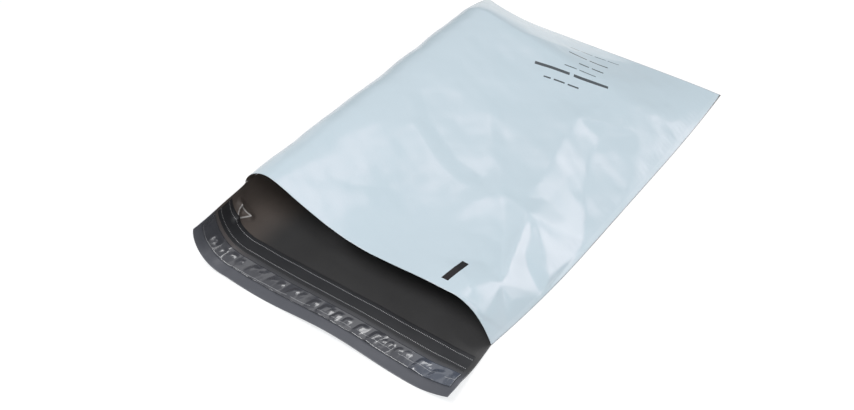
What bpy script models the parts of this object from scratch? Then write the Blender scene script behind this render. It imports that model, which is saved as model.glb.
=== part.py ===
"""An open mailing bag of glossy polythene film, lying on its back with the mouth gaping.

The bag is one web of film. It is folded once at the closed end and welded down both sides, and the
back panel runs on past the mouth as a closing lip. The lip carries a tear strip, and a band of
adhesive under a release liner. One side of the bag stands up in a soft roll, and the front panel
falls from that roll to the other side, which lies on the table.

Lengths are in metres. X runs across the bag, Y from the lip to the closed end, and Z up.
"""

from math import cos, exp, pi, radians, sin, sqrt

import bmesh
import bpy
import numpy as np
from mathutils import Vector

NAME = "mailing_bag"

# The film, measured with the bag pressed flat
WIDTH = 0.235
BODY = 0.345
LIP = 0.057
FILM = 0.00007

# The roll down the left side
ROLL_RADIUS = 0.025
ROLL_WRAP_AT_MOUTH = radians(108.5)
ROLL_WRAP_INSIDE = radians(92.0)
WRAP_REACH = 0.100
RUN_OUT = 0.076

# The front panel's height over the table
CROWN = 0.029
CROWN_REACH = 0.125
SLACK = 0.0012

# How far the edges are drawn in at the mouth and at the closed end
MOUTH_PULL = 0.0065
MOUTH_PULL_REACH = 0.110
END_PULL = 0.0032
END_PULL_REACH = 0.115

# The corners and the lip's edge, which stand off the table
END_CORNER_LIFT = 0.0096
END_CORNER_REACH_X = 0.060
END_CORNER_REACH_Y = 0.245
LIP_CORNER_LIFT = 0.0055
LIP_CORNER_REACH = 0.030
LIP_WAVE = 0.0045
LIP_WAVE_LENGTH = 0.125
LIP_WAVE_CREST = 0.095

# The strips on the lip
STRIP_GAUGE = 0.0001
STRIP_END_GAP = 0.0035
TEAR_WIDTH = 0.0156
TEAR_FROM_MOUTH = 0.0155
LINER_WIDTH = 0.0135
LINER_FROM_EDGE = 0.009
ADHESIVE_WIDTH = 0.0115
CLEARANCE = 0.0003

# How finely the film is divided
FLAT_COLUMNS = 26
ROLL_COLUMNS = 8
LIP_ROWS = 6
BODY_ROWS = 25
FOLD_DEPTH = 0.0015
SLOPE_STEPS = 240
STRIP_ROWS = 3
NORMAL_STEP = 0.0005


def ease(value):
    """0 to 1 with a soft start and a soft end."""
    t = min(max(value, 0.0), 1.0)
    return t * t * (3.0 - 2.0 * t)


def fade(distance, reach):
    """1 at no distance, falling to 0 at reach with no kink there."""
    return max(0.0, 1.0 - distance / reach) ** 2 if distance > 0.0 else 1.0


def roll_radius(v):
    """Radius of the side roll, v metres in from the mouth."""
    left = min(max((BODY - v) / RUN_OUT, 0.0), 1.0)
    return SLACK / 2.0 + (ROLL_RADIUS - SLACK / 2.0) * (1.0 - (1.0 - left) ** 1.3)


def roll_wrap(v):
    """Angle through which the back panel climbs the roll before it meets the weld."""
    return ROLL_WRAP_INSIDE + (ROLL_WRAP_AT_MOUTH - ROLL_WRAP_INSIDE) * fade(v, WRAP_REACH)


def right_edge(v):
    """X of the right-hand weld, which lies on the table."""
    drawn_in = MOUTH_PULL * fade(abs(v), MOUTH_PULL_REACH)
    return WIDTH / 2.0 - drawn_in - END_PULL * fade(BODY - v, END_PULL_REACH)


def roll_centre(v):
    """X of the line where the back panel leaves the table to climb the roll."""
    return right_edge(v) - WIDTH + roll_radius(v) * roll_wrap(v)


def ramp(t):
    """The taut front panel deep in the bag: 1 at the roll, straight down to 0 at the right weld."""
    soft = 0.05
    return 1.0 - (sqrt(t * t + soft * soft) - soft) / (sqrt(1.0 + soft * soft) - soft)


def front_height(t, v):
    """Height of the front panel, t of the way from the roll's top to the right weld."""
    top = 2.0 * roll_radius(v)
    slack = SLACK * (1.0 - t**12)
    taut = slack + (top - SLACK) * ramp(t)
    shoulder = 1.0 - max(0.0, (t - 0.8) / 0.2) ** 3
    crown = CROWN * (0.9 + 0.1 * ease((t - 0.45) / 0.35)) * shoulder
    domed = crown + (top - 0.9 * CROWN) * exp(-((t / 0.22) ** 1.6)) * shoulder
    weight = ease(1.0 - v / CROWN_REACH)
    return taut + (domed - taut) * weight


def lift(x, v):
    """Height by which the film stands off the table at its corners and along the lip's edge."""
    left = right_edge(BODY) - WIDTH
    far = fade(BODY - v, END_CORNER_REACH_Y) * fade(x - left, END_CORNER_REACH_X)
    outward = max(0.0, -v / LIP) ** 2
    wave = 0.5 + 0.5 * cos(2.0 * pi * (right_edge(v) - LIP_WAVE_CREST - x) / LIP_WAVE_LENGTH)
    near = LIP_CORNER_LIFT * fade(right_edge(v) - x, LIP_CORNER_REACH)
    near += LIP_WAVE * wave * fade(roll_centre(v) - x, ROLL_RADIUS)
    return END_CORNER_LIFT * far + outward * near


def back_point(share, v):
    """Outer face of the back panel or lip, share of the width in from the right weld."""
    radius = roll_radius(v)
    along = share * WIDTH
    angle = max(0.0, (along - WIDTH) / radius + roll_wrap(v))
    x = max(right_edge(v) - along, roll_centre(v)) - radius * sin(angle)
    return Vector((x, v, radius * (1.0 - cos(angle)) + lift(x, v)))


def spread(columns):
    """Places from 0 to 1, closer together towards both ends."""
    even = [k / columns for k in range(columns + 1)]
    return [t - 0.35 * sin(2.0 * pi * t) / (2.0 * pi) for t in even]


def back_shares(v):
    """Column places on the back panel: spread over the flat, then evenly up round the roll."""
    flat = 1.0 - roll_radius(v) * roll_wrap(v) / WIDTH
    climbing = [flat + (1.0 - flat) * k / ROLL_COLUMNS for k in range(1, ROLL_COLUMNS + 1)]
    return [flat * t for t in spread(FLAT_COLUMNS)] + climbing


def back_row(v):
    """The back panel or lip at v, from the right weld to the left one."""
    return [back_point(share, v) for share in back_shares(v)]


def front_row(v):
    """The front panel at v, from the right weld up the slope and over the roll to the left weld."""
    radius = roll_radius(v)
    centre = roll_centre(v)
    falls = np.linspace(1.0, 0.0, SLOPE_STEPS)
    x = centre + (right_edge(v) - centre) * falls
    z = np.array([front_height(t, v) for t in falls])
    along = np.concatenate(([0.0], np.cumsum(np.hypot(np.diff(x), np.diff(z)))))
    places = along[-1] * np.array(spread(FLAT_COLUMNS))
    outline = list(zip(np.interp(places, along, x), np.interp(places, along, z)))
    for k in range(1, ROLL_COLUMNS + 1):
        angle = (pi - roll_wrap(v)) * k / ROLL_COLUMNS
        outline.append((centre - radius * sin(angle), radius * (1.0 + cos(angle))))
    return [Vector((x, v, z + lift(x, v))) for x, z in outline]


def web_rows():
    """Every row of the web in order: out along the back, round the fold and back along the front."""
    inside = [(BODY - FOLD_DEPTH) * t for t in spread(BODY_ROWS)]
    lip = [-LIP * (1.0 - k / LIP_ROWS) for k in range(LIP_ROWS)]
    back = [back_row(v) for v in lip + inside]
    front = [front_row(v) for v in reversed(inside)]
    fold = [(under + over) / 2.0 for under, over in zip(back_row(BODY), front_row(BODY))]
    return back + [fold] + front


def grid_object(name, rows, material, collection, root):
    """A grid whose vertices are laid on the given rows of points."""
    columns = len(rows[0]) - 1
    mesh = bmesh.new()
    bmesh.ops.create_grid(mesh, x_segments=columns, y_segments=len(rows) - 1, size=0.5)
    for vertex in mesh.verts:
        column = round((vertex.co.x + 0.5) * columns)
        row = round((vertex.co.y + 0.5) * (len(rows) - 1))
        vertex.co = rows[row][column]
    bmesh.ops.remove_doubles(mesh, verts=mesh.verts, dist=0.00001)
    data = bpy.data.meshes.new(name)
    mesh.to_mesh(data)
    mesh.free()
    data.shade_smooth()
    data.materials.append(material)
    made = bpy.data.objects.new(name, data)
    made.parent = root
    collection.objects.link(made)
    return made


def thicken(made, thickness):
    """Give a sheet its gauge, inwards from the face that looks out of the bag."""
    solid = made.modifiers.new("gauge", "SOLIDIFY")
    solid.thickness = thickness
    solid.offset = -1.0


def add_material(name, colour, roughness, metallic=0.0):
    material = bpy.data.materials.new(name)
    material.use_nodes = True
    shader = material.node_tree.nodes["Principled BSDF"]
    shader.inputs["Base Color"].default_value = (*colour, 1.0)
    shader.inputs["Roughness"].default_value = roughness
    shader.inputs["Metallic"].default_value = metallic
    return material


def make_film_bag(collection, root):
    """Front panel, back panel and lip, in one folded web welded at its two long edges."""
    film = add_material("film", (0.61, 0.71, 0.77), 0.3)
    bag = grid_object("film_bag", web_rows(), film, collection, root)
    thicken(bag, FILM)
    return bag


def above_lip(share, v, height):
    """A point over the lip's outer face, measured square to the film."""
    step = NORMAL_STEP / WIDTH
    across = back_point(share - step, v) - back_point(share + step, v)
    inward = back_point(share, v + NORMAL_STEP) - back_point(share, v - NORMAL_STEP)
    return back_point(share, v) + across.cross(inward).normalized() * height


def make_strip(name, material, near, width, height, place):
    """A strip right across the lip, its near edge at v = near, with its underside at height."""
    end = STRIP_END_GAP / WIDTH
    stations = [near + width * k / STRIP_ROWS for k in range(STRIP_ROWS + 1)]
    rows = []
    for v in stations:
        shares = [min(max(share, end), 1.0 - end) for share in back_shares(v)]
        rows.append([above_lip(share, v, height) for share in shares])
    strip = grid_object(name, rows, material, *place)
    thicken(strip, STRIP_GAUGE)
    return strip


def make_strips(place):
    """The tear strip, and the adhesive with its liner, each lying just clear of what carries it."""
    first = FILM + CLEARANCE
    second = first + STRIP_GAUGE + CLEARANCE
    tear = add_material("tear_tape", (0.035, 0.036, 0.04), 0.55)
    make_strip("tear_strip", tear, -TEAR_FROM_MOUTH - TEAR_WIDTH, TEAR_WIDTH, first, place)
    middle = LINER_FROM_EDGE + LINER_WIDTH / 2.0 - LIP
    glue = add_material("adhesive", (0.10, 0.11, 0.13), 0.3)
    make_strip("adhesive_strip", glue, middle - ADHESIVE_WIDTH / 2.0, ADHESIVE_WIDTH, first, place)
    liner = add_material("liner", (0.20, 0.22, 0.27), 0.15)
    make_strip("release_liner", liner, middle - LINER_WIDTH / 2.0, LINER_WIDTH, second, place)


def stand_on_origin(root, bag):
    """Move the whole bag so that the middle of its underside is at the origin."""
    points = np.array([vertex.co[:] for vertex in bag.data.vertices])
    low, high = points.min(axis=0), points.max(axis=0)
    root.location = (-(low[0] + high[0]) / 2.0, -(low[1] + high[1]) / 2.0, -low[2])


def main():
    for made in list(bpy.data.objects):
        bpy.data.objects.remove(made, do_unlink=True)
    collection = bpy.data.collections.new(NAME)
    bpy.context.scene.collection.children.link(collection)
    root = bpy.data.objects.new(NAME + "_root", None)
    collection.objects.link(root)
    bag = make_film_bag(collection, root)
    make_strips((collection, root))
    stand_on_origin(root, bag)


main()
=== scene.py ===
"""Looks of an open mailing bag: glossy film, pale outside, black inside, with a lined closing lip.

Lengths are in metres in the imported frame, with X across the bag, Y from the lip to the closed end
and Z up. On the bag itself, v is the distance in from the mouth, and across is the distance over
the film from the right-hand weld.
"""

from math import cos, hypot, pi, radians, sin

import bmesh
import bpy
import numpy as np
from mathutils import Matrix, Vector
from mathutils.geometry import delaunay_2d_cdt

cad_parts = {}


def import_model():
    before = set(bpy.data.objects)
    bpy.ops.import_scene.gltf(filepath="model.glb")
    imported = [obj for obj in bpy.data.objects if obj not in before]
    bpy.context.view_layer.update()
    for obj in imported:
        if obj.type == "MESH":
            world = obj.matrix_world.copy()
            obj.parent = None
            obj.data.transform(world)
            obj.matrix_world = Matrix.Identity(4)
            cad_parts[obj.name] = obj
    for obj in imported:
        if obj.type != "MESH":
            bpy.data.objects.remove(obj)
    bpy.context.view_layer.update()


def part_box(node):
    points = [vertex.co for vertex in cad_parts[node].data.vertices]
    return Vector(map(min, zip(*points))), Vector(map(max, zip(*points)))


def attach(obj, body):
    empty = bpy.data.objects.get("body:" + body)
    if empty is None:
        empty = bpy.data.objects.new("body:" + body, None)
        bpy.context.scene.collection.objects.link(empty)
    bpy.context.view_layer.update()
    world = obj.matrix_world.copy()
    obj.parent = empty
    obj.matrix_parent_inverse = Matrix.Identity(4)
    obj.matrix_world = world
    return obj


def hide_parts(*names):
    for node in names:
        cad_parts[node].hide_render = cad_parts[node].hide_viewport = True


# The bag's own sizes, and the form of its roll and of its crowned mouth, as in the part's source
WIDTH = 0.235
BODY = 0.345
LIP = 0.057
FILM = 0.00007
ROLL_RADIUS = 0.025
ROLL_WRAP_AT_MOUTH = radians(108.5)
ROLL_WRAP_INSIDE = radians(92.0)
WRAP_REACH = 0.100
RUN_OUT = 0.076
CROWN = 0.029
CROWN_REACH = 0.125
SLACK = 0.0012
MOUTH_PULL = 0.0065
MOUTH_PULL_REACH = 0.110
END_PULL = 0.0032
END_PULL_REACH = 0.115
END_CORNER_LIFT = 0.0096
END_CORNER_REACH_X = 0.060
END_CORNER_REACH_Y = 0.245
LIP_CORNER_LIFT = 0.0055
LIP_CORNER_REACH = 0.030
LIP_WAVE = 0.0045
LIP_WAVE_LENGTH = 0.125
LIP_WAVE_CREST = 0.095
STRIP_GAUGE = 0.0001
STRIP_END_GAP = 0.0035
TEAR_WIDTH = 0.0156
TEAR_FROM_MOUTH = 0.0155
LINER_WIDTH = 0.0135
LINER_FROM_EDGE = 0.009
ADHESIVE_WIDTH = 0.0115
CLEARANCE = 0.0003
ROLL_TAPER = 1.3
TAUT_POWER = 12
RAMP_SOFTNESS = 0.05
SHOULDER_START = 0.8
SHOULDER_REACH = 0.2
SHOULDER_POWER = 3
CROWN_AT_ROLL = 0.9
CROWN_GAIN = 0.1
CROWN_GAIN_START = 0.45
CROWN_GAIN_REACH = 0.35
DOME_REACH = 0.22
DOME_POWER = 1.6

# Where the flat bands of the film lie: beside the right weld, at the closed end, and beside both
# welds of the back panel
WELD_FLAT = 0.012
END_FLAT = 0.02
BACK_WELD_START = 0.0015
BACK_WELD_REACH = 0.016
BACK_WELD_BEFORE_MOUTH = 0.004
BACK_WELD_GROWTH = 0.008
LIP_EDGE_FLAT = 0.004

# The front panel's facets fade in from the roll and from the weld over these distances
FACETS_FROM_ROLL = 0.03
FACETS_FROM_WELD = 0.003
FACET_SOFTENINGS = 2

# Distance over which a crease goes from its left reach to its right one
CREASE_TURN = 0.003

# Random waves of the front panel: height, seed, shortest and longest
FRONT_WAVES = ((0.00040, 3, 0.035, 0.11), (0.00007, 8, 0.012, 0.03))

# Other random waves, without their heights
CRIMP_WAVES = (4, 0.02, 0.05)
BACK_WAVES = (5, 0.02, 0.07)
LINED_WAVES = (6, 0.006, 0.016)
RIPPLE_WAVES = (21, 0.008, 0.017)
GATHER_WAVES = (22, 0.03, 0.09)

# The crimp of the right weld: bands of fine ribs that slant away from the mouth
CRIMP_HEIGHT = 0.00005
CRIMP_PITCH = 0.0052
CRIMP_SLANT = 0.35
CRIMP_JITTER = 2.0
CRIMP_START = 0.0035
CRIMP_RISE = 0.004
CRIMP_FALL_START = 0.006
CRIMP_FALL = 0.012
CRIMP_AT_MOUTH = 0.35
CRIMP_GAIN = 0.65
CRIMP_GAIN_REACH = 0.25

# Random waves of the back panel, and finer ones under the liner
BACK_WAVE_HEIGHT = 0.00024
BACK_WAVE_LEVEL = 1.5
LINED_WAVE_HEIGHT = 0.00016
LINED_WAVE_STRETCH = 0.22
LINED_MIDDLE = 0.041
LINED_REACH = 0.02

# The liner's ripple: its height, its lean, how far it is drawn out inwards, how sharp its ridges
# are, and how much of it shows from place to place
LINER_RIPPLE = 0.00012
RIPPLE_LEAN = 0.5
RIPPLE_STRETCH = 0.12
RIPPLE_SHARPNESS = 1.3
GATHER_LEVEL = 0.7
GATHER_SPREAD = 0.6

# The form of the liner's pleats: how far they lean, how they fall away on either side, and how they
# taper at their near and far ends, in millimetres
PLEAT_LEAN = 0.3
PLEAT_FALL = 0.2
PLEAT_STEEP_REACH = 4.4
PLEAT_OVERRUN = 1.0
PLEAT_NEAR_TAPER = 7.0
PLEAT_FAR_TAPER = 5.0

# How finely the looks are meshed
FRONT_COLUMNS = (140, 44)
FRONT_ROWS = 250
BACK_COLUMNS = (100, 56)
BACK_ROWS = 120
LIP_ROWS = 64
STRIP_ROWS = 22
STRIP_COLUMNS = 620
SLOPE_STEPS = 400
EDGE_STEPS = 400
BUNCHING = 0.35
MERGE_WITHIN = 1e-6
NO_AREA = 1e-9
NO_LENGTH = 1e-12

# The camera, as the photograph saw the bag
CAMERA_AZIMUTH = 0.620042
CAMERA_ELEVATION = 0.722456
CAMERA_ROLL = 0.006855
CAMERA_DISTANCE = 0.819258
CAMERA_TARGET = (-0.001746, -0.057101, 0.0)
CAMERA_LENS_MM = 46.56
SENSOR_MM = 36.0

# Colours, as linear light
FILM_OUTSIDE = (0.53, 0.635, 0.70)
FILM_INSIDE = (0.042, 0.042, 0.043)
# Painted light: the inner skin drawn lighter and browner up the roll
ROLL_INSIDE_PAINTED_LIGHT = (0.105, 0.088, 0.079)
# Painted sheen: the inner skin drawn lighter and bluer on the lip
LIP_INSIDE_PAINTED_SHEEN = (0.086, 0.090, 0.104)
PRINT_INK = (0.006, 0.010, 0.012)
WELDED_FILM = (0.66, 0.74, 0.79)
# Painted shade: a thin darker line along the right weld's edge and the closed end
RIM_SHADE = (0.44, 0.46, 0.52)
# Painted highlight: the pale colour drawn along the tuck's edges, where its folds catch the light
TUCK_HIGHLIGHT = (0.62, 0.61, 0.60)
TAPE_DARK, TAPE_LIGHT = (0.022, 0.023, 0.026), (0.030, 0.031, 0.035)
TAPE_HOLES = (0.75, 0.76, 0.78)
ADHESIVE_DARK, ADHESIVE_LIGHT = (0.05, 0.054, 0.062), (0.075, 0.08, 0.09)
# Painted sheen: grey tones for the clear liner, like the lip's painted sheen
LINER_SHEEN_DARK, LINER_SHEEN_LIGHT = (0.066, 0.068, 0.079), (0.088, 0.091, 0.104)
LINER_BLUISH = (0.095, 0.112, 0.150)
# Painted highlight along the liner's slit
SLIT_HIGHLIGHT = (0.45, 0.46, 0.48)
WHITE = (1.0, 1.0, 1.0, 1.0)
TABLE_WHITE = (0.92, 0.92, 0.92, 1.0)

# How much the film's tones vary from place to place, the depth of its fine grain, and the tint of
# the outside's reflections
OUTSIDE_VARIATION = 0.95
INSIDE_VARIATION = 1.3
GRAIN_DEPTH = 0.0003
OUTSIDE_REFLECTION_TINT = (1.0, 0.70, 0.72, 1.0)

# Marks on the films, and the places of their painted light and shade, as distances across from the
# right weld and in from the mouth
EYE_MARK_ACROSS = (0.0554, 0.0607)
EYE_MARK_INWARD = (0.0078, 0.0317)
EYE_MARK_SLANT = 0.03
WELD_WIDTH = 0.0045
WELD_SHOWS = 0.15
RIM_WIDTH = 0.0009
RIM_AT_END = 0.0012
RIM_SHADE_SHOWS = 0.3
ROLL_LIGHT_ACROSS = (0.175, 0.21)
LIP_SHEEN_INWARD = (-0.026, -0.042)
TUCK_HIGHLIGHT_SHOWS = 0.8
PERFORATION_PITCH = 0.0013
PERFORATION_RADIUS = 0.00024
PERFORATION_ROWS = (-0.0187, -0.0277)
BLUISH_ACROSS = (0.05, 0.02)
BLUISH_SHOWS = 0.7
SLIT_INWARD = (-0.04155, -0.04125)
SLIT_SLANT = 0.03
SLIT_HIGHLIGHT_SHOWS = 0.7
SLIT_BROKEN_BELOW = 0.42

# The rules' own axes, in millimetres per metre over the film: along each line, and up from line to
# line
RULES_ALONG = (928.0, -371.0)
RULES_ABOVE = (371.0, 928.0)
RULE_SHOWS = 0.86

# The studio: its table and room, and its lamps with direction, power and side
TABLE_SIDE = 8.0
TABLE_TOP = -0.0002
TABLE_GLOW = 1.12
TABLE_GLOW_SHARE = 0.55
ROOM_LIGHT = 0.2
LAMPS = (
    ("key", (-0.2, -0.45, 0.87), 12.3, 0.75),
    ("near_right", (0.5, -0.5, 0.7), 6.2, 0.75),
    ("right_low", (0.93, 0.0, 0.35), 1.2, 0.4),
    ("right_far", (0.68, 0.58, 0.45), 1.6, 0.5),
    ("far_right", (0.348, 0.837, 0.422), 6.0, 0.7),
    ("far_high", (0.03, 0.5, 0.86), 2.1, 0.42),
    ("far_left", (-0.42, 0.6, 0.68), 1.0, 0.9),
    ("left_low", (-0.93, 0.3, 0.14), 1.4, 0.75),
)
LAMP_DISTANCE = 1.5


def ease(value):
    """0 to 1 with a soft start and a soft end."""
    t = np.clip(value, 0.0, 1.0)
    return t * t * (3.0 - 2.0 * t)


def fade(distance, reach):
    """1 at no distance, falling to 0 at reach with no kink there."""
    return np.clip(1.0 - np.maximum(distance, 0.0) / reach, 0.0, 1.0) ** 2


def roll_radius(v):
    """Radius of the roll, which runs out to nothing at the closed end."""
    left = np.clip((BODY - v) / RUN_OUT, 0.0, 1.0)
    return SLACK / 2.0 + (ROLL_RADIUS - SLACK / 2.0) * (1.0 - (1.0 - left) ** ROLL_TAPER)


def roll_wrap(v):
    """Angle through which the back panel climbs the roll."""
    return ROLL_WRAP_INSIDE + (ROLL_WRAP_AT_MOUTH - ROLL_WRAP_INSIDE) * fade(v, WRAP_REACH)


def right_edge(v):
    """Where the right weld lies, drawn in at the mouth and at the closed end."""
    drawn_in = MOUTH_PULL * fade(np.abs(v), MOUTH_PULL_REACH)
    return WIDTH / 2.0 - drawn_in - END_PULL * fade(BODY - v, END_PULL_REACH)


def roll_centre(v):
    """Where the roll's axis lies."""
    return right_edge(v) - WIDTH + roll_radius(v) * roll_wrap(v)


def ramp(t):
    """1 at the roll's top, falling to 0 at the right weld in a straight line that starts level."""
    soft = RAMP_SOFTNESS
    return 1.0 - (np.sqrt(t * t + soft * soft) - soft) / (np.sqrt(1.0 + soft * soft) - soft)


def front_height(t, v):
    """Height of the front panel, t of the way from the roll's top to the right weld."""
    top = 2.0 * roll_radius(v)
    taut = SLACK * (1.0 - t**TAUT_POWER) + (top - SLACK) * ramp(t)
    past = np.maximum(0.0, (t - SHOULDER_START) / SHOULDER_REACH)
    shoulder = 1.0 - past**SHOULDER_POWER
    gain = CROWN_GAIN * ease((t - CROWN_GAIN_START) / CROWN_GAIN_REACH)
    crown = CROWN * (CROWN_AT_ROLL + gain) * shoulder
    dome = np.exp(-((t / DOME_REACH) ** DOME_POWER))
    domed = crown + (top - CROWN_AT_ROLL * CROWN) * dome * shoulder
    return taut + (domed - taut) * ease(1.0 - v / CROWN_REACH)


def lift(x, v):
    """Height by which the film stands off the table at its corners and along the lip's edge."""
    left = right_edge(BODY) - WIDTH
    far = fade(BODY - v, END_CORNER_REACH_Y) * fade(x - left, END_CORNER_REACH_X)
    wave = 0.5 + 0.5 * np.cos(2.0 * pi * (right_edge(v) - LIP_WAVE_CREST - x) / LIP_WAVE_LENGTH)
    near = LIP_CORNER_LIFT * fade(right_edge(v) - x, LIP_CORNER_REACH)
    near = near + LIP_WAVE * wave * fade(roll_centre(v) - x, ROLL_RADIUS)
    return END_CORNER_LIFT * far + np.maximum(0.0, -v / LIP) ** 2 * near


def back_surface(across, v):
    """Outer face of the back panel and lip, from distances over the film."""
    radius = roll_radius(v)
    angle = np.maximum(0.0, (across - WIDTH) / radius + roll_wrap(v))
    x = np.maximum(right_edge(v) - across, roll_centre(v)) - radius * np.sin(angle)
    z = radius * (1.0 - np.cos(angle)) + lift(x, v)
    return np.stack([x, v + 0.0 * x, z], axis=-1)


def spread(columns):
    """Places from 0 to 1, closer together towards both ends."""
    t = np.linspace(0.0, 1.0, columns + 1)
    return t - BUNCHING * np.sin(2.0 * pi * t) / (2.0 * pi)


def back_across(v, columns):
    """Distances over the film of the back panel's columns: over the flat, then up the roll."""
    flat, climbing = columns
    level = WIDTH - roll_radius(v) * roll_wrap(v)
    up = level + (WIDTH - level) * np.arange(1, climbing + 1) / climbing
    return np.concatenate((level * spread(flat), up))


def front_row(v, columns):
    """The front panel at v from the right weld to the left one, with distances over the film."""
    sloping, turning = columns
    radius = roll_radius(v)
    centre = roll_centre(v)
    falls = np.linspace(1.0, 0.0, SLOPE_STEPS)
    x = centre + (right_edge(v) - centre) * falls
    z = front_height(falls, v)
    along = np.concatenate(([0.0], np.cumsum(np.hypot(np.diff(x), np.diff(z)))))
    places = along[-1] * spread(sloping)
    angles = (pi - roll_wrap(v)) * np.arange(1, turning + 1) / turning
    x = np.concatenate((np.interp(places, along, x), centre - radius * np.sin(angles)))
    z = np.concatenate((np.interp(places, along, z), radius * (1.0 + np.cos(angles))))
    points = np.stack([x, v + 0.0 * x, z + lift(x, v)], axis=-1)
    return points, np.concatenate((places, along[-1] + radius * angles))


def bag_middle():
    """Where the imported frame's origin lies on the bag as the functions above draw it."""
    low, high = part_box("film_bag")
    right = max(right_edge(v) for v in np.linspace(-LIP, BODY, EDGE_STEPS))
    return Vector((high[0] - right, low[1] + LIP, 0.0))


def square_to(points):
    """The outward direction at each point of a sheet's grid."""
    rows = np.gradient(points, axis=0)
    columns = np.gradient(points, axis=1)
    normals = np.cross(columns, rows)
    lengths = np.linalg.norm(normals, axis=-1, keepdims=True)
    return normals / np.maximum(lengths, NO_LENGTH)


def crease(x, v, path, left, right, power=1.3, soft=0.0012):
    """A raised fold along a path of (x, v, height) in millimetres.

    It falls away over left and right, the reaches on either hand of someone following the path.
    """
    nearest = np.full(np.shape(x), np.inf)
    height = np.zeros(np.shape(x))
    for start, end in zip(path[:-1], path[1:]):
        (x0, v0, h0), (x1, v1, h1) = np.array(start) / 1000.0, np.array(end) / 1000.0
        run = np.hypot(x1 - x0, v1 - v0)
        t = np.clip(((x - x0) * (x1 - x0) + (v - v0) * (v1 - v0)) / run**2, 0.0, 1.0)
        away = np.hypot(x - x0 - t * (x1 - x0), v - v0 - t * (v1 - v0))
        side = ((x1 - x0) * (v - v0) - (v1 - v0) * (x - x0)) / run
        away = np.sqrt(away**2 + soft**2) - soft
        lean = 0.5 + 0.5 * side / (np.abs(side) + CREASE_TURN)
        share = np.clip(1.0 - away / (right + (left - right) * lean), 0.0, 1.0)
        closer = away < nearest
        height = np.where(closer, (h0 + t * (h1 - h0)) * share**power, height)
        nearest = np.where(closer, away, nearest)
    return height


def waves(x, v, seed, shortest, longest, count=14):
    """Soft random unevenness, mostly between -1 and 1."""
    draw = np.random.default_rng(seed)
    total = np.zeros(np.shape(x))
    for _ in range(count):
        length = shortest * (longest / shortest) ** draw.random()
        heading, phase = 2.0 * pi * draw.random(), 2.0 * pi * draw.random()
        total += np.sin(2.0 * pi * (x * cos(heading) + v * sin(heading)) / length + phase)
    return total / np.sqrt(count)


# Corners of the facets by the mouth's right-hand corner: x, v and rise in millimetres, and 1 where
# the facets around it are truly flat
FACET_CORNERS = (
    (72, 103, 6.5, 1), (97, 33, -1.0, 1), (81, 94, 3.4, 1), (90, 72, -0.1, 1),
    (100, 37, -1.4, 1), (80, 100, 5.0, 1), (100, 83, 1.6, 1), (112, 69, 2.1, 1),
    (111, 120, -1.0, 1), (115, 55, 0.0, 1), (114, 103, 0.0, 1), (92, 6, 0.6, 0),
    (101, 3, 2.8, 0), (106, 32, -0.6, 1), (114, 16, 0.0, 0), (117, 90, 0.0, 0),
    (118, 120, 0.0, 0), (117, 160, 0.0, 0), (77, 43, -2.0, 0), (75, 69, -1.0, 1),
    (87, 25, -0.8, 0), (73, 21, 0.2, 0), (51, 60, -0.8, 0), (65, 86, 1.6, 0),
    (71, -2, 0.0, 0), (49, 24, 0.0, 0), (30, 56, 0.0, 0), (37, 83, 0.6, 0),
    (46, 108, 3.0, 0), (61, 118, 3.6, 0), (58, 154, 1.7, 0), (50, 189, 2.0, 0),
    (46, 221, 2.5, 0), (64, 235, 1.2, 0), (74, 131, 0.5, 0), (73, 161, -1.4, 0),
    (97, 149, -2.3, 0), (84, 166, -2.6, 0), (76, 189, -2.4, 0), (69, 220, -1.6, 0),
    (26, 181, 0.0, 0), (25, 228, 0.0, 0), (53, 253, 0.0, 0), (89, 246, 0.0, 0),
    (104, 206, 0.0, 0), (24, 140, 0.0, 0), (105, 176, -1.2, 0),
)

# Pairs of those corners that a fold joins
FACET_FOLDS = (
    (0, 2), (2, 3), (3, 4), (4, 1), (0, 1), (0, 5), (5, 6), (6, 7), (7, 9),
    (0, 8), (8, 10), (10, 9), (1, 11), (1, 12), (1, 13), (13, 9), (18, 1), (18, 22),
    (19, 0), (23, 0), (28, 29), (29, 0), (29, 30), (30, 31), (31, 32), (32, 33), (8, 36),
    (36, 37), (37, 38), (38, 39), (39, 33), (0, 34), (34, 35),
)

# Folds of the front panel: path in (x, v, height) in millimetres, then the reach to its left and
# to its right, and its power
STEP = (
    (-78, 150, 0.0), (-62, 133, 1.3), (-37, 114, 1.7),
    (2, 96, 1.5), (34, 96, 1.0), (55, 101, 0.0),
)
FRONT_CREASES = (
    # Step from the roll's foot towards the facets
    (STEP, 0.013, 0.050, 1.2),
    # Folds of the slack film either side of that step
    (((-14, 188, 0.0), (-5, 169, 0.8), (12, 148, 0.9), (30, 126, 0.0)), 0.010, 0.022, 1.4),
    (((-54, 33, 0.0), (-36, 39, 1.0), (-14, 56, 1.0), (14, 62, 0.0)), 0.020, 0.018, 1.4),
    # Short pulls at the weld
    (((112, 150, 0.4), (96, 160, 0.2), (84, 172, 0.0)), 0.012, 0.012, 1.5),
    (((114, 205, 0.3), (98, 214, 0.2), (86, 224, 0.0)), 0.012, 0.010, 1.5),
    # Soft fold beside the roll's far end
    (((-84, 250, 0.0), (-50, 262, 0.9), (-5, 300, 0.8), (10, 330, 0.0)), 0.030, 0.024, 1.5),
)

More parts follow.
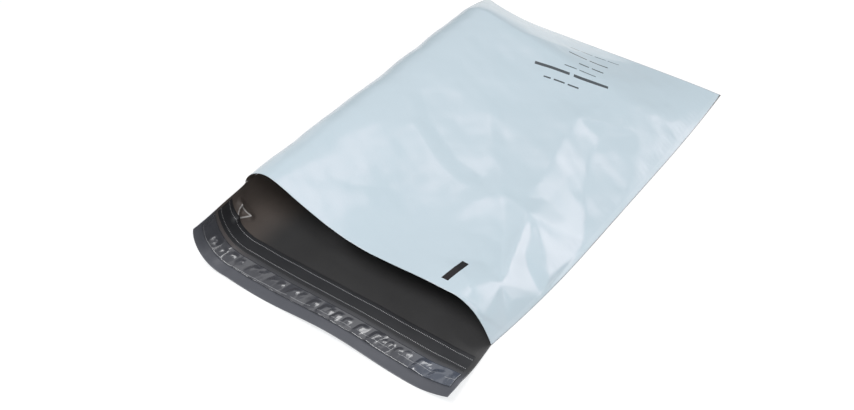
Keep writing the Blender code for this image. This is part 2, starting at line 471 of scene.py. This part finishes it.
# Folds of the back panel's inner face, with distances over the film in place of x
BACK_CREASES = (
    # Small three-cornered tuck beside the tear tape, with softer crests than the other folds
    (((221, -9, 1.6), (208, -6, 1.2)), 0.0022, 0.006, 1.0, 0.0003),
    (((221, -9, 1.6), (214, -17, 1.4)), 0.006, 0.0022, 1.0, 0.0003),
    (((208, -6, 1.2), (214, -17, 1.4)), 0.0022, 0.005, 1.0, 0.0003),
    # Slack folds inside the pouch
    (((150, 30, 3.0), (128, 14, 1.5), (105, 10, 0.0)), 0.012, 0.020, 1.1),
    (((150, 30, 3.0), (170, 60, 2.0), (180, 110, 0.0)), 0.018, 0.018, 1.1),
    (((30, 6, 0.0), (55, 14, 0.8), (90, 8, 0.0)), 0.010, 0.012, 1.3),
    # Pulls from the lip's right-hand corner
    (((4, -40, 1.0), (22, -26, 0.5), (44, -8, 0.0)), 0.010, 0.008, 1.4),
    (((6, -12, 0.6), (22, -8, 0.4), (40, 4, 0.0)), 0.008, 0.006, 1.4),
)


def front_top(x, v):
    """Height of the front panel without its folds."""
    centre = roll_centre(v)
    return front_height(np.clip((x - centre) / (right_edge(v) - centre), 0.0, 1.0), v)


def facets(x, v, z):
    """Rise of the facets over the plain front panel, whose height is z."""
    corners = np.array(FACET_CORNERS, dtype=float)
    places = [Vector(corner) for corner in corners[:, :2] / 1000.0]
    laid = delaunay_2d_cdt(places, FACET_FOLDS, [], 0, MERGE_WITHIN)
    places = np.array([tuple(place) for place in laid[0]])
    values = np.zeros((len(places), 3))
    for index, made_from in enumerate(laid[3]):
        values[index, :2] = corners[made_from[0], 2:]
    values[:, 0] /= 1000.0
    values[:, 2] = front_top(places[:, 0], places[:, 1])
    rise = np.zeros(np.shape(x))
    for face in laid[2]:
        a, b, c = places[face]
        area = (b[0] - a[0]) * (c[1] - a[1]) - (b[1] - a[1]) * (c[0] - a[0])
        if abs(area) < NO_AREA:
            continue
        second = ((x - a[0]) * (c[1] - a[1]) - (v - a[1]) * (c[0] - a[0])) / area
        third = ((b[0] - a[0]) * (v - a[1]) - (b[1] - a[1]) * (x - a[0])) / area
        shares = np.stack([1.0 - second - third, second, third], axis=-1)
        inside = shares.min(axis=-1) >= 0.0
        lifted, flat, level = np.moveaxis(shares @ values[list(face)], -1, 0)
        rise = np.where(inside, lifted - flat * (z - level), rise)
    return rise


def softened(values, times):
    """The values of a grid, blurred a little along both of its directions."""
    for _ in range(times):
        for axis in (0, 1):
            padded = np.concatenate((values.take([0], axis), values, values.take([-1], axis)), axis)
            count = values.shape[axis]
            sides = padded.take(range(count), axis) + padded.take(range(2, count + 2), axis)
            values = 0.5 * values + 0.25 * sides
    return values


def crimp(x, v, from_weld):
    """Height of the fine ribs along the right weld."""
    turns = (v - CRIMP_SLANT * from_weld) / CRIMP_PITCH
    ribs = np.sin(2.0 * pi * turns + CRIMP_JITTER * waves(x, v, *CRIMP_WAVES))
    band = ease((from_weld - CRIMP_START) / CRIMP_RISE)
    band = band * (1.0 - ease((from_weld - CRIMP_FALL_START) / CRIMP_FALL))
    return CRIMP_HEIGHT * ribs * band * (CRIMP_AT_MOUTH + CRIMP_GAIN * ease(v / CRIMP_GAIN_REACH))


def front_relief(points):
    """Heights of the front panel's folds square to the film."""
    x, v = points[..., 0], points[..., 1]
    height = sum(crease(x, v, *fold) for fold in FRONT_CREASES)
    for rise, seed, shortest, longest in FRONT_WAVES:
        height = height + rise * waves(x, v, seed, shortest, longest)
    from_weld = right_edge(v) - x
    height = height * ease(from_weld / WELD_FLAT) * ease((BODY - v) / END_FLAT)
    shown = ease((x - roll_centre(v)) / FACETS_FROM_ROLL)
    faceted = facets(x, v, points[..., 2]) * shown * ease(from_weld / FACETS_FROM_WELD)
    rise = softened(faceted, FACET_SOFTENINGS)
    height = height + rise * np.abs(square_to(points)[..., 2])
    return height + crimp(x, v, from_weld)


def back_relief(across, v):
    """Heights of the back panel's and the lip's folds square to the film, towards the inside."""
    height = sum(crease(across, v, *fold) for fold in BACK_CREASES)
    slack = BACK_WAVE_HEIGHT * (BACK_WAVE_LEVEL + waves(across, v, *BACK_WAVES))
    height = height + slack * ease((v + LIP) / LIP_EDGE_FLAT)
    rippled = 1.0 + waves(across, LINED_WAVE_STRETCH * v, *LINED_WAVES)
    lined = fade(np.abs(v + LINED_MIDDLE), LINED_REACH)
    height = height + LINED_WAVE_HEIGHT * rippled * lined
    welded = ease((v + BACK_WELD_BEFORE_MOUTH) / BACK_WELD_GROWTH)
    from_weld = np.minimum(across, WIDTH - across)
    held = 1.0 - welded * (1.0 - ease((from_weld - BACK_WELD_START) / BACK_WELD_REACH))
    return np.maximum(0.0, height) * held * ease((BODY - v) / END_FLAT)


def back_face(across, v):
    """Outer face of the back panel and lip with its folds, and the directions out of it."""
    base = back_surface(across, v)
    step = 0.0004
    sideways = back_surface(across - step, v) - back_surface(across + step, v)
    inward = back_surface(across, v + step) - back_surface(across, v - step)
    upward = np.cross(sideways, inward)
    upward = upward / np.linalg.norm(upward, axis=-1, keepdims=True)
    return base + upward * back_relief(across, v)[..., None], upward


def sheet_object(name, points, across, materials, offset):
    """A sheet laid on a grid of points, with the film's own distances as its UV map."""
    rows, columns = points.shape[0] - 1, points.shape[1] - 1
    grid = bmesh.new()
    bmesh.ops.create_grid(grid, x_segments=columns, y_segments=rows, size=0.5)
    mesh = bpy.data.meshes.new(name)
    grid.to_mesh(mesh)
    grid.free()
    flat = np.empty(len(mesh.vertices) * 3)
    mesh.vertices.foreach_get("co", flat)
    column = np.rint((flat[0::3] + 0.5) * columns).astype(int)
    row = np.rint((flat[1::3] + 0.5) * rows).astype(int)
    placed = points[row, column] + np.array(offset)
    mesh.vertices.foreach_set("co", placed.ravel())
    owners = np.empty(len(mesh.loops), dtype=int)
    mesh.loops.foreach_get("vertex_index", owners)
    over_film = np.stack([across[row, column], points[row, column, 1]], axis=-1)
    mesh.uv_layers.new(name="film").data.foreach_set("uv", over_film[owners].ravel())
    mesh.shade_smooth()
    mesh.update()
    made = bpy.data.objects.new(name, mesh)
    bpy.context.scene.collection.objects.link(made)
    for material in materials:
        mesh.materials.append(material)
    return made


def give_gauge(made, gauge):
    """Thicken a sheet inwards; its inner face and its rim take the second material, if any."""
    solid = made.modifiers.new("gauge", "SOLIDIFY")
    solid.thickness = gauge
    solid.offset = -1.0
    solid.material_offset = len(made.data.materials) - 1
    solid.material_offset_rim = len(made.data.materials) - 1


class Socket:
    """A shader value that can be used in Python expressions."""

    def __init__(self, graph, output):
        self.graph = graph
        self.output = output

    def _math(self, operation, *values):
        return self.graph.add("ShaderNodeMath", {"operation": operation}, values)

    def __add__(self, other):
        return self._math("ADD", self, other)

    def __radd__(self, other):
        return self._math("ADD", other, self)

    def __sub__(self, other):
        return self._math("SUBTRACT", self, other)

    def __rsub__(self, other):
        return self._math("SUBTRACT", other, self)

    def __mul__(self, other):
        return self._math("MULTIPLY", self, other)

    def __rmul__(self, other):
        return self._math("MULTIPLY", other, self)

    def __truediv__(self, other):
        return self._math("DIVIDE", self, other)

    def __abs__(self):
        return self._math("ABSOLUTE", self)

    def floor(self):
        return self._math("FLOOR", self)

    def __lt__(self, other):
        return self._math("LESS_THAN", self, other)

    def __gt__(self, other):
        return self._math("GREATER_THAN", self, other)


class Finish:
    """One material's node graph."""

    def __init__(self, name):
        self.material = bpy.data.materials.new(name)
        self.material.use_nodes = True
        self.tree = self.material.node_tree
        self.shader = self.tree.nodes["Principled BSDF"]

    def add(self, kind, settings=None, inputs=(), output=0):
        """One node: its settings first, then its sockets, by order or by name."""
        node = self.tree.nodes.new(kind)
        for key, value in (settings or {}).items():
            setattr(node, key, value)
        named = inputs.items() if isinstance(inputs, dict) else enumerate(inputs)
        for key, value in named:
            self.join(value, node.inputs[key])
        return Socket(self, node.outputs[output])

    def join(self, value, socket):
        """Feed a socket with another node's output, or set it to a constant."""
        if isinstance(value, Socket):
            self.tree.links.new(value.output, socket)
        else:
            socket.default_value = value

    def set(self, **values):
        """Sockets of the surface shader, written with underscores for spaces."""
        for key, value in values.items():
            self.join(value, self.shader.inputs[key.replace("_", " ")])

    def film_place(self):
        """Distances over the film: across from the right weld, and in from the mouth."""
        uv = self.add("ShaderNodeUVMap", {"uv_map": "film"})
        across = self.add("ShaderNodeSeparateXYZ", inputs=(uv,), output=0)
        inward = self.add("ShaderNodeSeparateXYZ", inputs=(uv,), output=1)
        return uv, across, inward

    def noise(self, place, scale, detail=2.0, roughness=0.5):
        """Random clouds over the film, from 0 to 1."""
        values = {"Vector": place, "Scale": scale, "Detail": detail, "Roughness": roughness}
        return self.add("ShaderNodeTexNoise", inputs=values)

    def blend(self, factor, first, second):
        """A colour between two colours."""
        node = self.tree.nodes.new("ShaderNodeMix")
        node.data_type = "RGBA"
        self.join(factor, node.inputs[0])
        for value, socket in ((first, node.inputs[6]), (second, node.inputs[7])):
            self.join(value if isinstance(value, Socket) else (*value, 1.0), socket)
        return Socket(self, node.outputs[2])

    def smooth(self, value, low, high):
        """0 at low and 1 at high, with a soft start and end."""
        settings = {"interpolation_type": "SMOOTHSTEP"}
        values = {"Value": value, "From Min": low, "From Max": high}
        return self.add("ShaderNodeMapRange", settings, values)

    def mottled(self, cloudy, colour, share):
        """A colour that goes, with the clouds, to the given share of itself."""
        return self.blend(cloudy, colour, tuple(share * part for part in colour))

    def grain(self, height, strength):
        """Fine unevenness of the film's skin."""
        values = {"Height": height, "Distance": GRAIN_DEPTH, "Strength": strength}
        self.set(Normal=self.add("ShaderNodeBump", inputs=values))


def between(value, low, high):
    """1 where value lies between low and high, else 0."""
    return (value > low) * (value < high)


# Plain rules near the closed end, in millimetres: start and end along the line, height of its
# middle, its thickness, and the length of a dash with its gap, and of the gap
RULES = (
    (-41.0, 5.0, 331.0, 1.0, 12.0, 2.0),
    (-32.0, 7.0, 316.0, 1.8, 19.0, 2.6),
    (-28.5, -4.0, 301.5, 1.8, 13.0, 2.6),
    (-22.0, 8.0, 290.0, 1.1, 17.0, 2.2),
    (-35.0, 32.0, 280.7, 3.4, 33.5, 3.6),
    (-10.4, 22.2, 267.7, 1.8, 12.0, 2.6),
)


def printed(across, inward):
    """1 where the film is inked, else 0: a bare mark by the mouth and rules at the far end."""
    slanted = across + EYE_MARK_SLANT * inward
    ink = between(slanted, *EYE_MARK_ACROSS) * between(inward, *EYE_MARK_INWARD)
    along = RULES_ALONG[0] * across + RULES_ALONG[1] * inward
    above = RULES_ABOVE[0] * across + RULES_ABOVE[1] * inward
    for start, end, middle, thick, dash, gap in RULES:
        place = (along - start) / dash
        inked = (place - place.floor()) > gap / dash
        line = between(above, middle - thick / 2.0, middle + thick / 2.0)
        ink = ink + between(along, start, end) * line * inked * RULE_SHOWS
    return ink


def film_outside():
    """The pale, glossy outer skin, its welded edge and its print."""
    finish = Finish("film_outside")
    uv, across, inward = finish.film_place()
    skin = finish.mottled(finish.noise(uv, 18.0, 3.0), FILM_OUTSIDE, OUTSIDE_VARIATION)
    weld = 1.0 - (across > WELD_WIDTH)
    skin = finish.blend(weld * WELD_SHOWS, skin, WELDED_FILM)
    # Painted shade along the film's edge at the right weld and at the closed end
    rim = 1.0 - (across > RIM_WIDTH) * (inward < BODY - RIM_AT_END)
    skin = finish.blend(rim * RIM_SHADE_SHOWS, skin, RIM_SHADE)
    finish.set(Base_Color=finish.blend(printed(across, inward), skin, PRINT_INK))
    finish.set(Roughness=0.205 + 0.055 * finish.noise(uv, 50.0))
    finish.set(Specular_Tint=OUTSIDE_REFLECTION_TINT)
    finish.grain(finish.noise(uv, 140.0) + 0.35 * finish.noise(uv, 700.0), 0.2)
    return finish.material


# The tuck's corners over the film, in millimetres, and how wide the highlights painted along its
# edges are
TUCK_CORNERS = ((221.0, -9.0), (208.0, -6.0), (214.0, -17.0))
TUCK_HIGHLIGHT_EDGE = (0.75, 0.25)
TUCK_HIGHLIGHT_OVERRUN = 0.5


def tuck_highlight_mask(finish, across, inward):
    """1 along the tuck's edges, where a highlight is painted, else 0."""
    pale = 0.0
    for first, second in ((0, 1), (0, 2), (1, 2)):
        (x0, v0), (x1, v1) = TUCK_CORNERS[first], TUCK_CORNERS[second]
        length = hypot(x1 - x0, v1 - v0)
        ahead_x, ahead_v = (x1 - x0) / length, (v1 - v0) / length
        from_x, from_v = 1000.0 * across - x0, 1000.0 * inward - v0
        along = ahead_x * from_x + ahead_v * from_v
        off = ahead_x * from_v - ahead_v * from_x
        reached = between(along, -TUCK_HIGHLIGHT_OVERRUN, length + TUCK_HIGHLIGHT_OVERRUN)
        pale = pale + finish.smooth(abs(off), *TUCK_HIGHLIGHT_EDGE) * reached
    return pale


def film_inside():
    """The black inner skin, with light painted up the roll, lighter and browner there, and a sheen
    painted on the lip, lighter and bluer there.
    """
    finish = Finish("film_inside")
    uv, across, inward = finish.film_place()
    cloudy = finish.noise(uv, 30.0, 3.0)
    # Painted light, lighter and browner, up the roll
    roll_light_share = finish.smooth(across, *ROLL_LIGHT_ACROSS)
    # Painted sheen, lighter and bluer, on the lip
    lip = finish.smooth(inward, *LIP_SHEEN_INWARD)
    grey = finish.mottled(cloudy, FILM_INSIDE, INSIDE_VARIATION)
    roll_painted_light = finish.mottled(cloudy, ROLL_INSIDE_PAINTED_LIGHT, INSIDE_VARIATION)
    bluish = finish.mottled(cloudy, LIP_INSIDE_PAINTED_SHEEN, INSIDE_VARIATION)
    tone = finish.blend(lip, finish.blend(roll_light_share, grey, roll_painted_light), bluish)
    # Painted highlight along the tuck's edges
    tuck_highlight = tuck_highlight_mask(finish, across, inward) * TUCK_HIGHLIGHT_SHOWS
    finish.set(Base_Color=finish.blend(tuck_highlight, tone, TUCK_HIGHLIGHT))
    finish.set(Roughness=0.30 + 0.12 * finish.noise(uv, 80.0))
    finish.grain(finish.noise(uv, 160.0) + 0.3 * finish.noise(uv, 900.0), 0.4)
    return finish.material


def tear_tape():
    """Matt dark tape with a row of perforations near each edge."""
    finish = Finish("tear_tape")
    uv, across, inward = finish.film_place()
    tape = finish.blend(finish.noise(uv, 60.0), TAPE_DARK, TAPE_LIGHT)
    pitch = across / PERFORATION_PITCH
    along = abs(pitch - pitch.floor() - 0.5) * PERFORATION_PITCH
    holes = 0.0
    for row in PERFORATION_ROWS:
        off = inward - row
        holes = holes + ((along * along + off * off) < PERFORATION_RADIUS**2)
    finish.set(Base_Color=finish.blend(holes, tape, TAPE_HOLES))
    finish.set(Roughness=0.44 + 0.1 * finish.noise(uv, 120.0))
    finish.grain(finish.noise(uv, 260.0), 0.4)
    return finish.material


def adhesive():
    """Glossy grey adhesive."""
    finish = Finish("adhesive")
    uv, _, _ = finish.film_place()
    cloudy = finish.noise(uv, 90.0)
    finish.set(Base_Color=finish.blend(cloudy, ADHESIVE_DARK, ADHESIVE_LIGHT))
    finish.set(Roughness=0.3 + 0.1 * cloudy)
    return finish.material


def liner_film():
    """Clear glossy film over the dark lip, drawn in grey tones of painted sheen, bluish at its
    right-hand end, with a highlight painted along its slit.
    """
    finish = Finish("liner_film")
    uv, across, inward = finish.film_place()
    bluish = finish.smooth(across, *BLUISH_ACROSS) * BLUISH_SHOWS
    # Painted sheen: grey tones for the clear film
    tone = finish.blend(finish.noise(uv, 70.0), LINER_SHEEN_DARK, LINER_SHEEN_LIGHT)
    tone = finish.blend(bluish, tone, LINER_BLUISH)
    # Painted highlight: a broken light line along the slit
    slit = between(inward + SLIT_SLANT * across, *SLIT_INWARD)
    slit = slit * (finish.noise(uv, 90.0) > SLIT_BROKEN_BELOW)
    finish.set(Base_Color=finish.blend(slit * SLIT_HIGHLIGHT_SHOWS, tone, SLIT_HIGHLIGHT))
    finish.set(Roughness=0.14 + 0.08 * finish.noise(uv, 130.0))
    finish.set(Specular_IOR_Level=1.0, Coat_Weight=1.0, Coat_Roughness=0.1)
    finish.grain(finish.noise(uv, 420.0), 0.35)
    return finish.material


def make_front_panel(outside, inside, offset):
    """The front panel, from its left weld up over the roll and down to its right weld."""
    rows = [front_row(v, FRONT_COLUMNS) for v in BODY * spread(FRONT_ROWS)]
    points = np.array([row[0][::-1] for row in rows])
    across = np.array([row[1][::-1] for row in rows])
    points = points + square_to(points) * front_relief(points)[..., None]
    return sheet_object("front_panel", points, across, (outside, inside), offset)


def make_back_panel(outside, inside, offset):
    """The back panel, with the closing lip that runs on past the mouth."""
    stations = np.concatenate((np.linspace(-LIP, 0.0, LIP_ROWS)[:-1], BODY * spread(BACK_ROWS)))
    across = np.array([back_across(v, BACK_COLUMNS) for v in stations])
    points, _ = back_face(across, stations[:, None])
    return sheet_object("back_panel", points, across, (outside, inside), offset)


# Pleats of the liner: distance over the film, near and far ends and rise, in millimetres
PLEATS = (
    (213, -47, -37, 0.8), (204, -48, -38, 0.5), (197, -47, -36, 0.9), (188, -46, -37, 0.6),
    (177, -48, -36, 1.0), (170, -46, -38, 0.5), (159, -48, -37, 0.8), (151, -47, -37, 0.7),
    (140, -48, -36, 1.1), (132, -46, -37, 0.6), (121, -48, -37, 0.9), (112, -49, -36, 1.0),
    (107, -48, -37, 0.7), (101, -49, -37, 1.0), (92, -47, -37, 0.8), (82, -49, -36, 1.2),
    (71, -50, -35, 1.5), (63, -47, -37, 0.7), (58, -48, -36, 0.8), (51, -48, -37, 0.9),
    (45, -48, -36, 0.8), (34, -50, -35, 1.6), (27, -46, -37, 0.7), (20, -49, -38, 1.3),
)


def pleats(across, v):
    """Rise of the liner's short pleats over the adhesive, each one steeper on its left."""
    height = 0.0 * across
    for place, near, far, rise in PLEATS:
        ahead = place - across * 1000.0 - PLEAT_LEAN * (v * 1000.0 - near)
        gentle = 1.0 - ahead * PLEAT_FALL / rise
        slope = ease(np.where(ahead > 0.0, gentle, 1.0 + ahead / PLEAT_STEEP_REACH))
        along = ease((v * 1000.0 - near + PLEAT_OVERRUN) / PLEAT_NEAR_TAPER)
        along = along * ease((far + PLEAT_OVERRUN - v * 1000.0) / PLEAT_FAR_TAPER)
        height = np.maximum(height, 0.001 * rise * slope * along)
    return height


def make_strip(name, material, near, width, height, offset, ripple=0.0):
    """A strip across the lip, its near edge at v = near, with its underside at height."""
    stations = np.linspace(near, near + width, STRIP_ROWS)
    places = np.linspace(WIDTH - STRIP_END_GAP, STRIP_END_GAP, STRIP_COLUMNS)
    across, v = np.meshgrid(places, stations)
    base, upward = back_face(across, v)
    if ripple:
        leaning = waves(across + RIPPLE_LEAN * v, RIPPLE_STRETCH * v, *RIPPLE_WAVES)
        gather = ease(GATHER_LEVEL + GATHER_SPREAD * waves(across, 0.0 * v, *GATHER_WAVES))
        height = height + ripple * gather * (np.abs(leaning) ** RIPPLE_SHARPNESS)
        height = height + pleats(across, v)
    points = base + upward * (height + 0.0 * across)[..., None]
    return sheet_object(name, points, across, (material,), offset)


def softbox(name, direction, power, side):
    """A square lamp in the given direction from the bag, facing it."""
    lamp = bpy.data.lights.new(name, "AREA")
    lamp.shape = "SQUARE"
    lamp.size = side
    lamp.energy = power
    made = bpy.data.objects.new(name, lamp)
    away = Vector(direction).normalized()
    made.location = LAMP_DISTANCE * away
    made.rotation_euler = away.to_track_quat("Z", "Y").to_euler()
    bpy.context.scene.collection.objects.link(made)


def make_camera():
    """The photograph's own view: a plain lens, looking down over the lip's right-hand corner."""
    side = cos(CAMERA_ELEVATION)
    back = Vector((sin(CAMERA_AZIMUTH) * side, -cos(CAMERA_AZIMUTH) * side, sin(CAMERA_ELEVATION)))
    right = Vector((0.0, 0.0, 1.0)).cross(back).normalized()
    turn = Matrix((right, back.cross(right), back)).transposed().to_4x4()
    place = Matrix.Translation(Vector(CAMERA_TARGET) + CAMERA_DISTANCE * back)
    data = bpy.data.cameras.new("camera")
    data.lens = CAMERA_LENS_MM
    data.sensor_width = SENSOR_MM
    data.sensor_fit = "HORIZONTAL"
    data.clip_start = 0.01
    made = bpy.data.objects.new("camera", data)
    made.matrix_world = place @ turn @ Matrix.Rotation(CAMERA_ROLL, 4, "Z")
    bpy.context.scene.collection.objects.link(made)
    bpy.context.scene.camera = made


def mix_for_camera(tree, share, seen_by_light, seen_by_camera, output):
    """Show one surface shader to light and another to the camera, or a share of it."""
    mixed = tree.nodes.new("ShaderNodeMixShader")
    tree.links.new(share, mixed.inputs[0])
    tree.links.new(seen_by_light, mixed.inputs[1])
    tree.links.new(seen_by_camera, mixed.inputs[2])
    tree.links.new(mixed.outputs[0], output)


def make_table():
    """A white table top that looks white to the camera and still takes the bag's shadow."""
    finish = Finish("table")
    finish.set(Base_Color=TABLE_WHITE, Roughness=0.9)
    camera_ray = finish.add("ShaderNodeLightPath", output=0)
    white = finish.add("ShaderNodeEmission", inputs=(WHITE, TABLE_GLOW))
    share = camera_ray * TABLE_GLOW_SHARE
    end = finish.tree.nodes["Material Output"].inputs[0]
    mix_for_camera(finish.tree, share.output, finish.shader.outputs[0], white.output, end)
    bpy.ops.mesh.primitive_plane_add(size=TABLE_SIDE, location=(0.0, 0.0, TABLE_TOP))
    table = bpy.context.object
    table.name = "table"
    table.data.materials.append(finish.material)


def make_room():
    """A dim white room that looks plain white to the camera."""
    world = bpy.data.worlds.new("room")
    world.use_nodes = True
    tree = world.node_tree
    dim = tree.nodes["Background"]
    dim.inputs[0].default_value = WHITE
    dim.inputs[1].default_value = ROOM_LIGHT
    shown = tree.nodes.new("ShaderNodeBackground")
    shown.inputs[0].default_value = WHITE
    camera_ray = tree.nodes.new("ShaderNodeLightPath").outputs[0]
    end = tree.nodes["World Output"].inputs[0]
    mix_for_camera(tree, camera_ray, dim.outputs[0], shown.outputs[0], end)
    bpy.context.scene.world = world


def main():
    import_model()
    bpy.context.scene.view_settings.view_transform = "Standard"
    make_camera()
    make_table()
    make_room()
    for lamp in LAMPS:
        softbox(*lamp)
    middle = bag_middle()
    outside, inside = film_outside(), film_inside()
    front = make_front_panel(outside, inside, middle)
    back = make_back_panel(outside, inside, middle)
    on_lip = FILM + CLEARANCE
    on_glue = on_lip + STRIP_GAUGE + CLEARANCE
    centre = LINER_FROM_EDGE + LINER_WIDTH / 2.0 - LIP
    near = -TEAR_FROM_MOUTH - TEAR_WIDTH
    tear = make_strip("tear_tape", tear_tape(), near, TEAR_WIDTH, on_lip, middle)
    near = centre - ADHESIVE_WIDTH / 2.0
    glue = make_strip("adhesive_band", adhesive(), near, ADHESIVE_WIDTH, on_lip, middle)
    near = centre - LINER_WIDTH / 2.0
    liner = make_strip("liner_film", liner_film(), near, LINER_WIDTH, on_glue, middle, LINER_RIPPLE)
    for piece in (front, back):
        give_gauge(piece, FILM)
    for piece in (tear, glue, liner):
        give_gauge(piece, STRIP_GAUGE)
    for piece in (front, back, tear, glue, liner):
        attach(piece, "root")
    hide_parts("film_bag")
    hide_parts("film_bag")
    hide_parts("tear_strip")
    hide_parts("adhesive_strip")
    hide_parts("release_liner")


main()
